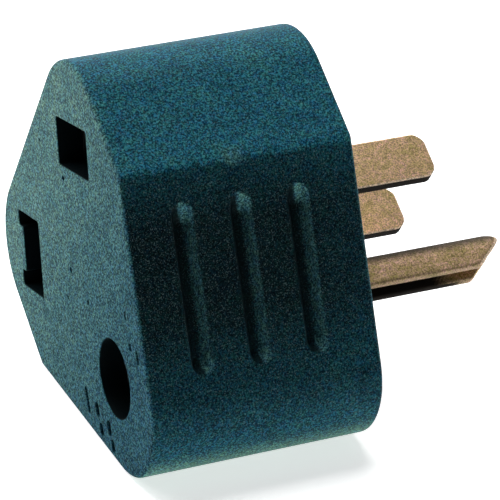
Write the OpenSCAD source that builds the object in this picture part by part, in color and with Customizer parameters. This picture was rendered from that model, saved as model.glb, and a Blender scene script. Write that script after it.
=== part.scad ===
// Plug-in power adapter: a canted-blade 30 A travel-trailer receptacle on the front and a
// 15 A parallel-blade plug on the back, in one moulded block.
// Built upright: X runs from the receptacle face to the prongs, Z up, ground contact at the
// bottom, with Z = 0 on the line of the two flat blades. rest() then lays the whole adapter on
// its slanted side, which becomes the bottom at Z = 0, centred in X and Y.

/* [Body] */
// Depth from the receptacle face to the plug face
body_depth = 29.65; // [27:0.05:34]
// Half of the body width
body_half_w = 22.8; // [22.4:0.1:25]
// Height of the top face above the blade line
body_top = 16.4; // [15.5:0.1:19]
// Radius of the two upper corners
corner_r = 10; // [7:0.1:12]
// Height of the edge where the slanted side starts
edge_z = -4.4; // [-6:0.1:-3]
// Lean of the slanted sides from upright, in degrees
slant = 33.5; // [31:0.5:35]
// Radius of the rounded bottom lobe
lobe_r = 9.4; // [9:0.1:10.5]
// Thickness of the moulded body around the core
wall = 3.2; // [3:0.1:3.6]
// Clearance between the core and the moulded body
core_gap = 0.1; // [0.05:0.05:0.2]

/* [Grip grooves] */
// Number of grooves on each slanted side
groove_count = 3; // [1:1:3]
// Distance from the receptacle face to the first groove
groove_first = 7.1; // [6:0.1:8]
// Distance between neighbouring grooves
groove_pitch = 7.33; // [6.5:0.05:7.5]
// Distance from the side edge to the top end of a groove
groove_start = 4.3; // [3:0.1:5]
// Length of a groove
groove_len = 20.4; // [15:0.1:21]
// Width of a groove
groove_w = 2.9; // [1.5:0.1:3]
// Depth of a groove
groove_depth = 1.5; // [0.5:0.1:1.8]

/* [Receptacle] */
// Distance of each canted slot from the middle
slot_y = 12.45; // [12:0.05:13]
// Height of the canted slots above the blade line
slot_z = 5.95; // [5.5:0.05:6.5]
// Length of a canted slot
slot_len = 9.95; // [9:0.05:10.2]
// Width of a canted slot
slot_w = 5.95; // [5.5:0.05:6.2]
// Cant of the slots, in degrees
slot_cant = 45; // [40:1:50]
// Width of the two notches at the ends of the neutral slot's outer side
notch_w = 2; // [1:0.1:2.5]
// Depth of those notches
notch_depth = 1.4; // [0.5:0.1:1.5]
// Height of the ground hole
ground_hole_z = -18.9; // [-19.4:0.1:-18.5]
// Radius of the ground hole
ground_hole_r = 4.9; // [4.5:0.05:5]

/* [Plug] */
// Distance of each flat blade from the middle
blade_y = 6.35; // [6.3:0.01:6.4]
// Width of a flat blade
blade_w = 6.35; // [6.1:0.05:6.5]
// Thickness of a flat blade
blade_t = 1.52; // [1.4:0.02:1.65]
// Length of a flat blade beyond the plug face
blade_len = 17.75; // [15.9:0.05:18.3]
// Chamfer on the tip corners of a flat blade
blade_chamfer = 1.1; // [0.5:0.1:1.5]
// Distance of the ground pin below the blade line
ground_pin_drop = 11.9; // [11.8:0.05:12]
// Outer width and height of the ground pin channel
ground_pin_w = 4.8; // [4.7:0.05:4.9]
// Thickness of the ground pin channel
ground_pin_t = 1.2; // [1:0.05:1.3]
// Length of the ground pin beyond the plug face, along its closed back
ground_pin_len = 24.95; // [21:0.05:26]
// How much shorter the open side of the ground pin is
ground_pin_bevel = 4; // [1:0.1:5]

/* [Contacts] */
// Thickness of the contact clips, the sleeve and the straps
sheet_t = 0.8; // [0.6:0.05:0.9]
// Thickness of the backing springs
spring_t = 0.5; // [0.3:0.05:0.5]
// Gap between the two leaves where they grip a blade
clip_gap = 1.5; // [1:0.1:1.8]
// Inner radius of the ground sleeve
sleeve_r = 2.65; // [2.4:0.05:2.7]

/* [Hidden] */
hot = -1;
neutral = 1;
sides = [hot, neutral];
cut = 1;
round_fn = 64;
arc_steps = 16;
// Layers of the core, counted from the receptacle face
cap_t = 1.9;
pocket_depth = 15;
pocket_floor_t = 1.2;
cap_x0 = wall + core_gap;
carrier_x0 = cap_x0 + cap_t;
floor_x0 = carrier_x0 + pocket_depth;
strap_x0 = floor_x0 + pocket_floor_t;
spacer_x0 = strap_x0 + sheet_t;
bridge_x0 = spacer_x0 + blade_t;
core_x1 = body_depth - wall - core_gap;
// Width of the pocket around each contact clip and radius of the one around the sleeve
pocket_w = 6.4;
sleeve_pocket_r = 4.6;
fit_gap = 0.1;
// Contact clip, measured from its slot axis
clip_len = 9;
clip_half = 2.1;
clip_mouth = 1.9;
clip_inset = 2.4;
clip_flare = 2.4;
clip_bend = 3;
clip_x0 = carrier_x0 + clip_inset;
clip_grip_x = clip_x0 + clip_flare;
clip_base_x = floor_x0 - spring_t - sheet_t;
spring_len = 5;
spring_lift = (sheet_t + spring_t + fit_gap) / 2;
// Ground sleeve, and the steel ring around its mouth
sleeve_inset = 1.2;
sleeve_lip = 0.85;
sleeve_collar_t = 0.5;
sleeve_cut_len = 9;
sleeve_cut_w = 0.8;
ring_inset = 1.5;
ring_w = 1.6;
ring_t = 0.6;
ground_bore_end_t = 1.2;
sleeve_x0 = carrier_x0 + sleeve_inset;
sleeve_out = sleeve_r + sheet_t;
sleeve_collar_r = sleeve_out + sleeve_lip;
ring_x0 = sleeve_x0 + ring_inset;
ground_bore_end = core_x1 - ground_bore_end_t;
// Rivets
rivet_r = 1.1;
rivet_head_r = 1.6;
rivet_head_t = 0.6;
blade_rivet_y = 10.2;
blade_rivet_z = -0.6;
ground_rivet_z = -6.9;
// Feet of the blades and of the ground pin
foot_end = 13;
ground_foot_reach = 2.6;
ground_foot_top = ground_rivet_z + ground_foot_reach;
// Straps
strap_w = 5;
eyelet_r = 5.2;
// Screws through the core
screw_r = 1.2;
screw_head_r = 2.2;
screw_head_t = 1.1;
screw_end_t = 0.8;
screw_spots = [[0, 9.5], [-13, -7], [13, -7]];
screw_x1 = core_x1 - screw_end_t;
// Side view of the ground pin's tip, counted from its longest point
pin_tip_round = 1.1;
ground_pin_z = -ground_pin_drop;
// Place of the adapter when it lies on its slanted side
lobe_z = edge_z - body_half_w / tan(slant) + lobe_r / sin(slant);
corner_y = body_half_w - corner_r;
corner_z = body_top - corner_r;
rest_back = corner_y * sin(slant) + corner_z * cos(slant) + corner_r;
rest_front = lobe_z * cos(slant) - lobe_r;
rest_low = -body_half_w * cos(slant) + edge_z * sin(slant);
total_len = body_depth + ground_pin_len;

// Points of an arc around centre c, from angle a0 to a1
function arc(c, r, a0, a1) =
    [for (i = [0:arc_steps]) c + r * [cos(a0 + (a1 - a0) * i / arc_steps),
                                      sin(a0 + (a1 - a0) * i / arc_steps)]];

// Lays the upright adapter on its slanted neutral side
module rest() {
    translate([-total_len / 2, -(rest_back + rest_front) / 2, -rest_low])
        rotate([slant - 90, 0, 0]) children();
}

// Extrudes a section drawn in (Y, Z) along X
module along_x(x0, x1) {
    translate([x0, 0, 0]) rotate([90, 0, 90]) linear_extrude(x1 - x0) children();
}

// Cylinder along X at (y, z)
module rod_x(x0, x1, r, y = 0, z = 0) {
    translate([x0, y, z]) rotate([0, 90, 0]) cylinder(h = x1 - x0, r = r, $fn = round_fn);
}

// Outline of the body, moved inwards by inset
module section(inset = 0) {
    edge = [body_half_w - inset, edge_z + inset * tan(slant / 2)];
    polygon(concat(
        arc([corner_y, corner_z], corner_r - inset, 0, 90),
        arc([-corner_y, corner_z], corner_r - inset, 90, 180),
        [[-edge.x, edge.y]],
        arc([0, lobe_z], lobe_r - inset, 180 + slant, 360 - slant),
        [edge]));
}

// Places a section shape on the axis of one canted slot
module at_slot(side) {
    translate([side * slot_y, slot_z]) rotate(-side * slot_cant) children();
}

// Places a solid on the axis of one canted slot, with Y along the slot
module in_slot(side) {
    translate([0, side * slot_y, slot_z]) rotate([-side * slot_cant, 0, 0]) children();
}

// Windows for the two canted slots and the ground hole
module face_windows(x0, x1, hole_r) {
    for (side = sides)
        along_x(x0, x1) at_slot(side) square([slot_len, slot_w], center = true);
    rod_x(x0, x1, hole_r, 0, ground_hole_z);
}

// Square notches at both ends of the neutral slot's outer side
module slot_notches(x0, x1) {
    along_x(x0, x1) at_slot(neutral)
        for (end = [-1, 1])
            translate([end * (slot_len - notch_w) / 2, slot_w / 2])
                square([notch_w, 2 * notch_depth], center = true);
}

// Section of the blades and the ground pin, grown by gap
module prong_section(gap = 0) {
    for (side = sides)
        translate([side * blade_y, 0]) square([blade_t + 2 * gap, blade_w + 2 * gap], center = true);
    translate([0, ground_pin_z]) channel_outline(gap);
}

// Outer shape of the ground pin: flat open side down, rounded closed back up
module channel_outline(gap = 0) {
    r = ground_pin_w / 2 + gap;
    polygon(concat([[-r, -r], [r, -r]], arc([0, 0], r, 0, 180)));
}

// Rounded-end slot shape between points a and b
module stadium(a, b, w) {
    turn = atan2(b.y - a.y, b.x - a.x);
    polygon(concat(arc(b, w / 2, turn - 90, turn + 90), arc(a, w / 2, turn + 90, turn + 270)));
}

// Grip grooves on one slanted side
module grooves(side) {
    top = groove_start + groove_w / 2;
    low = groove_start + groove_len - groove_w / 2;
    for (i = [0:groove_count - 1])
        translate([groove_first + i * groove_pitch, side * body_half_w, edge_z])
            rotate([-side * (90 + slant), 0, 0]) translate([0, 0, -groove_depth])
                linear_extrude(groove_depth + cut)
                    stadium([0, side * top], [0, side * low], groove_w);
}

// Moulded body
module outer_body() {
    color("#1f4a50") rest() difference() {
        along_x(0, body_depth) section();
        along_x(wall, body_depth - wall) section(wall);
        face_windows(-cut, wall + cut, ground_hole_r);
        slot_notches(-cut, wall + cut);
        along_x(body_depth - wall - cut, body_depth + cut) prong_section(fit_gap / 2);
        for (side = sides) grooves(side);
    }
}

// Rigid plate that closes the pockets towards the receptacle face
module front_cap() {
    color("#2b2d2e") rest() difference() {
        along_x(cap_x0, carrier_x0) section(wall + core_gap);
        face_windows(cap_x0 - cut, carrier_x0 + cut, sleeve_pocket_r);
        screw_holes(cap_x0 - cut, carrier_x0 + cut);
        for (spot = screw_spots)
            rod_x(cap_x0 - cut, cap_x0 + screw_head_t, screw_head_r + fit_gap / 2, spot.x, spot.y);
    }
}

// Clearance holes for the core screws
module screw_holes(x0, x1) {
    for (spot = screw_spots) rod_x(x0, x1, screw_r + fit_gap / 2, spot.x, spot.y);
}

// Rigid insulator with one pocket for each contact and channels for the straps
module contact_carrier() {
    color("#2b2d2e") rest() difference() {
        along_x(carrier_x0, spacer_x0) section(wall + core_gap);
        for (side = sides)
            along_x(carrier_x0 - cut, floor_x0) at_slot(side)
                square([slot_len, pocket_w], center = true);
        rod_x(carrier_x0 - cut, floor_x0, sleeve_pocket_r, 0, ground_hole_z);
        rod_x(floor_x0 - cut, spacer_x0 + cut, sleeve_out + fit_gap / 2, 0, ground_hole_z);
        along_x(strap_x0, spacer_x0 + cut) {
            for (side = sides) side_strap_outline(side, fit_gap);
            ground_strap_outline(fit_gap);
        }
        for (side = sides)
            rod_x(floor_x0 - cut, strap_x0 + cut, rivet_r + fit_gap / 2, side * slot_y, slot_z);
        for (spot = blade_rivet_spots())
            rod_x(strap_x0 - rivet_head_t - fit_gap, strap_x0 + cut, rivet_head_r + fit_gap,
                  spot.x, spot.y);
        screw_holes(carrier_x0 - cut, spacer_x0 + cut);
    }
}

// Insulating plate that keeps the feet of the three prongs apart
module strap_spacer() {
    color("#d8d2bd") rest() difference() {
        along_x(spacer_x0, bridge_x0) section(wall + core_gap);
        along_x(spacer_x0 - cut, bridge_x0 + cut) {
            for (side = sides) foot_outline(side, fit_gap);
            ground_foot_outline(fit_gap);
            translate([0, ground_pin_z]) channel_outline(fit_gap / 2);
        }
        for (side = sides)
            rod_x(spacer_x0 - cut, bridge_x0 + cut, rivet_head_r + fit_gap, side * slot_y, slot_z);
        rod_x(spacer_x0 - cut, bridge_x0 + cut, sleeve_collar_r + fit_gap, 0, ground_hole_z);
        screw_holes(spacer_x0 - cut, bridge_x0 + cut);
    }
}

// Rigid plate that holds the blades and the ground pin
module blade_bridge() {
    color("#3a3c3d") rest() difference() {
        along_x(bridge_x0, core_x1) section(wall + core_gap);
        along_x(bridge_x0 - cut, core_x1 + cut) prong_section(fit_gap / 2);
        for (spot = blade_rivet_spots())
            rod_x(bridge_x0 - cut, bridge_x0 + rivet_head_t + fit_gap, rivet_head_r + fit_gap,
                  spot.x, spot.y);
        rod_x(bridge_x0 - cut, ground_bore_end, sleeve_out, 0, ground_hole_z);
        screw_holes(bridge_x0 - cut, screw_x1 + fit_gap);
    }
}

// Two sprung leaves and the base that joins them, as a section in the (X, thickness) plane.
// leaf is the middle line of the upper leaf, from its mouth to the back of the base.
module leaf_pair(leaf, t) {
    last = len(leaf) - 1;
    outer = [for (p = leaf) p + [0, t / 2]];
    inner = [for (i = [0:last]) leaf[i] - [i == last ? t : 0, t / 2]];
    polygon(concat(
        outer,
        [for (i = [last:-1:0]) [outer[i].x, -outer[i].y]],
        [for (p = inner) [p.x, -p.y]],
        [for (i = [last:-1:0]) inner[i]]));
}

// Extrudes a leaf section along the slot, centred on it
module along_slot(width) {
    translate([0, width / 2, 0]) rotate([90, 0, 0]) linear_extrude(width) children();
}

// Female clip for one canted blade
module blade_clip(side) {
    leaf = [[clip_x0, clip_mouth], [clip_grip_x, (clip_gap + sheet_t) / 2],
            [clip_grip_x + clip_bend, clip_half], [clip_base_x + sheet_t, clip_half]];
    color("#b9924c") rest() difference() {
        in_slot(side) along_slot(clip_len) leaf_pair(leaf, sheet_t);
        rod_x(clip_base_x - cut, floor_x0 + cut, rivet_r + fit_gap / 2, side * slot_y, slot_z);
    }
}

module hot_contact() {
    blade_clip(hot);
}

module neutral_contact() {
    blade_clip(neutral);
}

// Steel spring that backs one female clip
module clip_spring(side) {
    half = clip_half + spring_lift;
    leaf = [[clip_grip_x, (clip_gap + sheet_t) / 2 + spring_lift],
            [clip_grip_x + clip_bend, half], [floor_x0, half]];
    color("#a9adb0") rest() difference() {
        in_slot(side) along_slot(spring_len) leaf_pair(leaf, spring_t);
        rod_x(clip_base_x - cut, floor_x0 + cut, rivet_r + fit_gap / 2, side * slot_y, slot_z);
    }
}

module hot_spring() {
    clip_spring(hot);
}

module neutral_spring() {
    clip_spring(neutral);
}

// Slit sleeve that grips a round ground pin, swaged into the ground strap
module ground_sleeve() {
    slit_z = ground_hole_z - sleeve_cut_w / 2;
    color("#b9924c") rest() difference() {
        union() {
            rod_x(sleeve_x0, spacer_x0 + sleeve_collar_t, sleeve_out, 0, ground_hole_z);
            rod_x(floor_x0 - sleeve_collar_t, floor_x0, sleeve_collar_r, 0, ground_hole_z);
            rod_x(spacer_x0, spacer_x0 + sleeve_collar_t, sleeve_collar_r, 0, ground_hole_z);
        }
        rod_x(sleeve_x0 - cut, spacer_x0 + sleeve_collar_t + cut, sleeve_r, 0, ground_hole_z);
        translate([sleeve_x0 - cut, -sleeve_collar_r, slit_z])
            cube([sleeve_cut_len + cut, 2 * sleeve_collar_r, sleeve_cut_w]);
    }
}

// Split steel ring around the mouth of the ground sleeve
module ground_ring() {
    inner = sleeve_out + fit_gap / 2;
    color("#a9adb0") rest() difference() {
        rod_x(ring_x0, ring_x0 + ring_w, inner + ring_t, 0, ground_hole_z);
        rod_x(ring_x0 - cut, ring_x0 + ring_w + cut, inner, 0, ground_hole_z);
        translate([ring_x0 - cut, -sleeve_cut_w / 2, ground_hole_z])
            cube([ring_w + 2 * cut, sleeve_cut_w, inner + ring_t + cut]);
    }
}

// Rivets that join the three prongs to the straps, as (y, z) places
function blade_rivet_spots() = [
    for (side = sides) [side * blade_rivet_y, blade_rivet_z],
    [0, ground_rivet_z]
];

// Outline of the strap from one clip to its blade
module side_strap_outline(side, gap = 0) {
    stadium([side * slot_y, slot_z], [side * blade_rivet_y, blade_rivet_z], strap_w + gap);
}

// Outline of the strap from the ground sleeve to the ground pin
module ground_strap_outline(gap = 0) {
    translate([0, ground_hole_z]) circle(r = eyelet_r + gap / 2, $fn = round_fn);
    stadium([0, ground_hole_z], [0, ground_rivet_z], strap_w + gap);
}

// Strap on the hot or the neutral side
module side_strap(side) {
    color("#c08a4e") rest() difference() {
        along_x(strap_x0, spacer_x0) side_strap_outline(side);
        rod_x(strap_x0 - cut, spacer_x0 + cut, rivet_r + fit_gap / 2, side * slot_y, slot_z);
        rod_x(strap_x0 - cut, spacer_x0 + cut, rivet_r + fit_gap / 2,
              side * blade_rivet_y, blade_rivet_z);
    }
}

module hot_strap() {
    side_strap(hot);
}

module neutral_strap() {
    side_strap(neutral);
}

module ground_strap() {
    color("#c08a4e") rest() difference() {
        along_x(strap_x0, spacer_x0) ground_strap_outline();
        rod_x(strap_x0 - cut, spacer_x0 + cut, sleeve_out + fit_gap / 2, 0, ground_hole_z);
        rod_x(strap_x0 - cut, spacer_x0 + cut, rivet_r + fit_gap / 2, 0, ground_rivet_z);
    }
}

// Outline of a blade's foot, which is bent outwards from the blade
module foot_outline(side, gap = 0) {
    inner = blade_y - blade_t / 2;
    translate([side * (inner + foot_end) / 2, 0])
        square([foot_end - inner + gap, blade_w + gap], center = true);
}

// Outline of the ground pin's foot, which is bent up from its closed back
module ground_foot_outline(gap = 0) {
    translate([0, (ground_pin_z + ground_foot_top) / 2])
        square([ground_pin_w + gap, ground_foot_top - ground_pin_z + gap], center = true);
}

// Flat blade of the plug with its riveted foot
module flat_blade(side) {
    tip_x = body_depth + blade_len;
    half = blade_w / 2;
    color("#b89a6c") rest() difference() {
        union() {
            translate([0, side * blade_y + blade_t / 2, 0]) rotate([90, 0, 0])
                linear_extrude(blade_t) polygon([
                    [spacer_x0, -half], [tip_x - blade_chamfer, -half],
                    [tip_x, -half + blade_chamfer], [tip_x, half - blade_chamfer],
                    [tip_x - blade_chamfer, half], [spacer_x0, half]]);
            along_x(spacer_x0, bridge_x0) foot_outline(side);
        }
        rod_x(spacer_x0 - cut, bridge_x0 + cut, rivet_r + fit_gap / 2,
              side * blade_rivet_y, blade_rivet_z);
    }
}

module hot_blade() {
    flat_blade(hot);
}

module neutral_blade() {
    flat_blade(neutral);
}

// Ground pin: a channel folded from strip, open away from the blades, with a slanted tip
module ground_pin() {
    half = ground_pin_w / 2;
    tip_x = body_depth + ground_pin_len;
    color("#ad9168") rest() difference() {
        union() {
            difference() {
                along_x(spacer_x0, tip_x) translate([0, ground_pin_z]) channel_outline();
                along_x(bridge_x0, tip_x + cut) translate([0, ground_pin_z]) channel_hollow();
            }
            along_x(spacer_x0, bridge_x0) ground_foot_outline();
        }
        rod_x(spacer_x0 - cut, bridge_x0 + cut, rivet_r + fit_gap / 2, 0, ground_rivet_z);
        translate([0, half + cut, ground_pin_z]) rotate([90, 0, 0])
            linear_extrude(ground_pin_w + 2 * cut) polygon([
                [tip_x - ground_pin_bevel, -half - cut], [tip_x - ground_pin_bevel, -half],
                [tip_x, half - pin_tip_round], [tip_x - pin_tip_round / 2, half],
                [tip_x - pin_tip_round / 2, half + cut], [tip_x + cut, half + cut],
                [tip_x + cut, -half - cut]]);
    }
}

// Hollow of the ground pin channel, open downwards
module channel_hollow() {
    r = ground_pin_w / 2 - ground_pin_t;
    low = -ground_pin_w / 2 - cut;
    polygon(concat([[-r, low], [r, low]], arc([0, 0], r, 0, 180)));
}

// Solid rivet along X with a head at each end
module rivet(x0, x1, spot) {
    rod_x(x0 - rivet_head_t, x1 + rivet_head_t, rivet_r, spot.x, spot.y);
    rod_x(x0 - rivet_head_t, x0, rivet_head_r, spot.x, spot.y);
    rod_x(x1, x1 + rivet_head_t, rivet_head_r, spot.x, spot.y);
}

// Rivets that join the two clips to their straps
module contact_rivets() {
    color("#8f9396") rest()
        for (side = sides) rivet(clip_base_x, spacer_x0, [side * slot_y, slot_z]);
}

// Rivets that join the three prongs to the straps
module blade_rivets() {
    color("#8f9396") rest()
        for (spot = blade_rivet_spots()) rivet(strap_x0, bridge_x0, spot);
}

// Screws that hold the core together
module core_screws() {
    color("#8f9396") rest() for (spot = screw_spots) {
        rod_x(cap_x0, screw_x1, screw_r, spot.x, spot.y);
        rod_x(cap_x0, cap_x0 + screw_head_t, screw_head_r, spot.x, spot.y);
    }
}

outer_body();
front_cap();
contact_carrier();
strap_spacer();
blade_bridge();
hot_contact();
neutral_contact();
hot_spring();
neutral_spring();
ground_sleeve();
ground_ring();
hot_strap();
neutral_strap();
ground_strap();
hot_blade();
neutral_blade();
ground_pin();
contact_rivets();
blade_rivets();
core_screws();
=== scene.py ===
import math

import bmesh
import bpy
from mathutils import Matrix, Vector
from mathutils.geometry import tessellate_polygon


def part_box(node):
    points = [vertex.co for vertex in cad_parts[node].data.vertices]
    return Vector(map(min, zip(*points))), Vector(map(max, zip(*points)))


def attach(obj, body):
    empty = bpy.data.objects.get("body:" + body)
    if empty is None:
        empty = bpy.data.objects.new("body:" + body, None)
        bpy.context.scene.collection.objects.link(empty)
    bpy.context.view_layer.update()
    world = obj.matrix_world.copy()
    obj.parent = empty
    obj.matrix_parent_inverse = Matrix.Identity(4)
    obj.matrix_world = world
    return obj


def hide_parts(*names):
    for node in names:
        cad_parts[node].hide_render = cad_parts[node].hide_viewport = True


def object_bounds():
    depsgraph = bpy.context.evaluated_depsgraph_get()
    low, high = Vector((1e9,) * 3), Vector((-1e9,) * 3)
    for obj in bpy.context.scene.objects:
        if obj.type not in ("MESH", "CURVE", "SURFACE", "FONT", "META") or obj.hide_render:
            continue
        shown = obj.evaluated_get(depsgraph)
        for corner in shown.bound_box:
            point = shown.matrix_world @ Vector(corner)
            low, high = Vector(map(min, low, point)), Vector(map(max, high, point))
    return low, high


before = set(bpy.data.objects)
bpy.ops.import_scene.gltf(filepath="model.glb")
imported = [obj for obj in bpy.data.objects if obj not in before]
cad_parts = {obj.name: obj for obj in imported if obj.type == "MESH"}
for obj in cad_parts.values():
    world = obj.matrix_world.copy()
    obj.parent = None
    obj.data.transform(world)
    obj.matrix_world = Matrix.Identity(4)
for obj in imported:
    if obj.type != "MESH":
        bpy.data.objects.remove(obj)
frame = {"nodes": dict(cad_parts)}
CAD_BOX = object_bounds()

# Lengths are in millimetres in the upright plug frame: X from the receptacle face to the prongs,
# Z up with the ground contact at the bottom, Z = 0 on the line of the two flat blades.

# Moulded body
DEPTH = 29.65
HALF_W = 22.8
TOP = 16.4
CORNER_R = 10.0
EDGE_Z = -4.4
SLANT = math.radians(33.5)
LOBE_R = 9.4
WALL = 3.2
SIDE_EDGE_R = 0.7
RIM_R = 0.55
DRAFT = 0.4
# How finely the body's mesh is divided
RIM_STEPS = 5
ROW_STEP = 0.21
FLANK_STEP = 0.25
TOP_STEP = 2.5
SIDE_STEP = 1.0
CORNER_STEPS = 28
LOBE_STEPS = 34
EDGE_STEPS = 5
CAVITY_STEP = 3.0
MERGE = 1e-5

# Slots and ground hole in the receptacle face
SLOT_Y = 12.45
SLOT_Z = 5.95
SLOT_LEN = 9.95
SLOT_W = 5.95
SLOT_CANT = math.radians(45)
SLOT_CORNER_R = 0.35
NOTCH_W = 2.0
NOTCH_DEPTH = 1.4
GROUND_HOLE_Z = -18.9
GROUND_HOLE_R = 4.9
WINDOW_RIM = 0.18
WINDOW_STEP = 0.8

# Plain sunk bars: middle Y, middle Z, length, width.
MARKS = ((11.0, -15.8, 3.3, 0.9), (8.9, -18.3, 1.9, 1.2), (9.8, -20.6, 1.6, 1.1),
         (7.2, -21.8, 1.9, 1.2), (8.0, -23.9, 1.6, 1.1), (-10.1, -15.9, 1.1, 0.5),
         (-8.2, -19.1, 1.0, 0.7), (-9.2, -21.1, 1.7, 0.7))
MARK_DEPTH = 0.35
MARK_TURN = math.radians(-60)
# Small pits from wear: middle Y, middle Z, radius.
PITS = ((-6.5, 5.5, 0.38), (1.5, -2.8, 0.42), (-0.3, -8.4, 0.34), (5.5, -4.3, 0.28),
        (-3.4, 13.1, 0.24))
PIT_DEPTH = 0.2
# Worn patch of the mould's gate on the edge over the hot slanted side
GATE_X = 14.3
GATE_R = 1.7
GATE_FLATTEN = 1.5
GATE_WEAR = 0.8

# Grip grooves on each slanted side
GROOVES = 3
GROOVE_FIRST = 7.1
GROOVE_PITCH = 7.33
GROOVE_START = 4.3
GROOVE_LEN = 20.4
GROOVE_W = 2.9
GROOVE_DEPTH = 1.5
GROOVE_RAMP_TOP = 2.6
GROOVE_RAMP_LOW = 1.4
GROOVE_LEAD = 0.3
GROOVE_FLOOR = 0.42
# Tones in a groove: the two places between which each comes in or fades out, and its amount.
# Across the groove they are shares of its half width from its middle line, positive towards the
# prongs. Along it they are distances from its upper end for the scoop, its lower end for the foot.
# The wall and scoop tones are painted highlights: the lit wall nearer the prongs and a painted
# reflection at the groove's upper end. The foot is lighter wear at its lower end.
WALL_ACROSS, WALL_HIGHLIGHT = (0.25, 0.6), 0.42
SCOOP_ACROSS, SCOOP_ALONG, SCOOP_LEAN = (-0.55, -0.2), (2.0, 3.0), 0.22
FOOT_ACROSS, FOOT_ALONG = (0.0, 0.4), (2.4, 1.2)
# Painted shade on the groove's wall nearer the receptacle face and on its floor
GROOVE_SHADE_ACROSS, GROOVE_SHADE_FADE, GROOVE_SHADE_STRENGTH = (-0.95, -0.6), (-0.1, 0.4), 0.7
GROOVE_EDGE = (0.9, 1.0)

# How strong the painted shade is, from 0 to 1: high and low on the lobe, where the low value covers
# a share of each half, and on the flat top, where it comes in with the upward part of the normal
LOBE_TOP = 0.7
LOBE_LOW = 0.25
LOBE_LOW_SHARE = 0.3
FLAT_TOP = 0.35
FLAT_TOP_FADE = (0.9, 1.0)
# How much less painted shade the slanted sides get near their top edge and near the prongs, how far
# down they blend into the lobe, and the distances from the top edge between which their painted
# shade comes in
TOP_EDGE_LIGHT, TOP_EDGE_REACH = 0.28, 8.0
REAR_LIGHT, REAR_START = 0.12, 19.0
LOBE_BLEND_START = 17.0
PAINTED_SHADE_FADE = (0.2, 0.9)
# Where the painted shade and painted bounce light of the sides fade at the rims, counted from
# either face
RIM_FADE = (0.1, 0.4)
FACE_FADE_START = 0.05
# Painted highlight along the rear rim: its amount, and where it is full and fades, from the plug
# face
REAR_RIM_HIGHLIGHT = 0.5
REAR_RIM_FULL = 0.2
REAR_RIM_FADE = 0.15
# Painted bounce light on the lobe's underside: angles between which it comes in and fades out
BOUNCE_START = (1.42 * math.pi, 1.58 * math.pi)
BOUNCE_END = (1.72 * math.pi, 1.8 * math.pi)
# Heights where the receptacle face is fully shaded and fully lit by its painted light
FACE_SHADED_Z = -22.0
FACE_LIT_Z = 10.0
# Depth over which the walls of the windows and marks turn dark with painted shade
RECESS_SHADE_FADE = 0.12

# Flat blades
BLADE_Y = 6.35
BLADE_W = 6.35
BLADE_T = 1.52
BLADE_LEN = 17.75
BLADE_CHAMFER = 1.1
BLADE_TIP_R = 0.45
BLADE_EDGE_R = 0.2
BLADE_BEND_R = 0.9
# Part of a face's normal that points across a blade: sheared edges, painted dark as shade, have
# less than the first, flat sides more than the second. Rolled edges between them get a painted
# highlight where they also look down or forward by more than the third.
BLADE_EDGE_ACROSS = 0.35
BLADE_FLAT_ACROSS = 0.97
BLADE_LOWER = 0.2

# Ground pin
PIN_Z = -11.9
PIN_W = 4.8
PIN_T = 1.2
PIN_LEN = 24.95
PIN_BEVEL = 4.0
PIN_EDGE_R = 0.28
PIN_TIP_R = 0.5
# Slant of the tip, from below the channel's lower edges to a height above the pin's middle
PIN_SLANT_BELOW, PIN_SLANT_TOP, PIN_SLANT_POWER = 0.6, 1.5, 0.9
# How far the top of the tip is rounded back, and the height above the pin's middle where it starts
PIN_NOSE, PIN_NOSE_START = 1.4, 0.5
# How finely the pin's mesh is divided
PIN_ROUND_STEPS = 24
PIN_SIDE_STEPS = 5
PIN_CORNER_STEPS = 4
PIN_ROWS = 50
# Painted shade darkening the pin upwards from just below its middle, and on its lower edges by the
# distance from them
PIN_UPPER_SHADE = (-0.4, 1.7)
PIN_LOW_SHADE, PIN_LOW_FADE = 0.4, (0.4, 0.1)
# Painted shade on faces inside the channel and on its lower edges: the least inward or downward
# part of a face's normal that counts, and the distances from the tip between which the painted
# shade fades
PIN_FACING = 0.3
INSIDE_DARK = (5.5, 9.5)
FAR_RIM_DARK = (4.5, 7.0)
# Painted highlight on the faces of the pin's tip
PIN_TIP_GLINT = 0.9

# Riveted feet of the blades and the pin, inside the body
FOOT_X = 22.2
FOOT_END = 13.0
PIN_FOOT_TOP = -4.3
PIN_FOOT_LIP = 0.04
BLADE_RIVET = (10.2, -0.6)
PIN_RIVET = (0.0, -6.9)
RIVET_HOLE_R = 1.15
RIVET_STEPS = 32
FOOT_CORNER_R = 0.03

# Windows in the plug face, round the prongs
FIT_GAP = 0.05
PRONG_WINDOW_R = 0.15

MM = 0.001
HOT, NEUTRAL = -1, 1
SIDES = (HOT, NEUTRAL)


# ---------------------------------------------------------------- placing and small helpers

def resting_place():
    """Matrix from the upright plug frame, in millimetres, to the row frame, in metres."""
    body_low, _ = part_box("outer_body")
    sleeve_low, sleeve_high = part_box("ground_sleeve")
    sleeve = (sleeve_low + sleeve_high) / 2
    turn = Matrix.Rotation(SLANT - math.pi / 2, 4, "X")
    drop = turn @ Vector((0, 0, GROUND_HOLE_Z * MM))
    origin = Vector((body_low.x, sleeve.y - drop.y, sleeve.z - drop.z))
    return Matrix.Translation(origin) @ turn @ Matrix.Scale(MM, 4)


PLACE = resting_place()


def smooth(low, high, value):
    """Smooth step from 0 at low to 1 at high, which may lie on either side of low."""
    u = min(max((value - low) / (high - low), 0.0), 1.0)
    return u * u * (3 - 2 * u)


def spread(start, end, step):
    """Evenly spaced values from start to end, both included, no further apart than step."""
    count = max(1, math.ceil(abs(end - start) / step))
    return [start + (end - start) * i / count for i in range(count + 1)]


def arc(cy, cz, radius, start, end, steps):
    """Points of an arc in (Y, Z), angles in radians, with their outward directions."""
    points = []
    for i in range(steps + 1):
        a = start + (end - start) * i / steps
        points.append((cy + radius * math.cos(a), cz + radius * math.sin(a), a))
    return points


# ---------------------------------------------------------------- outline of the moulded body

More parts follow.
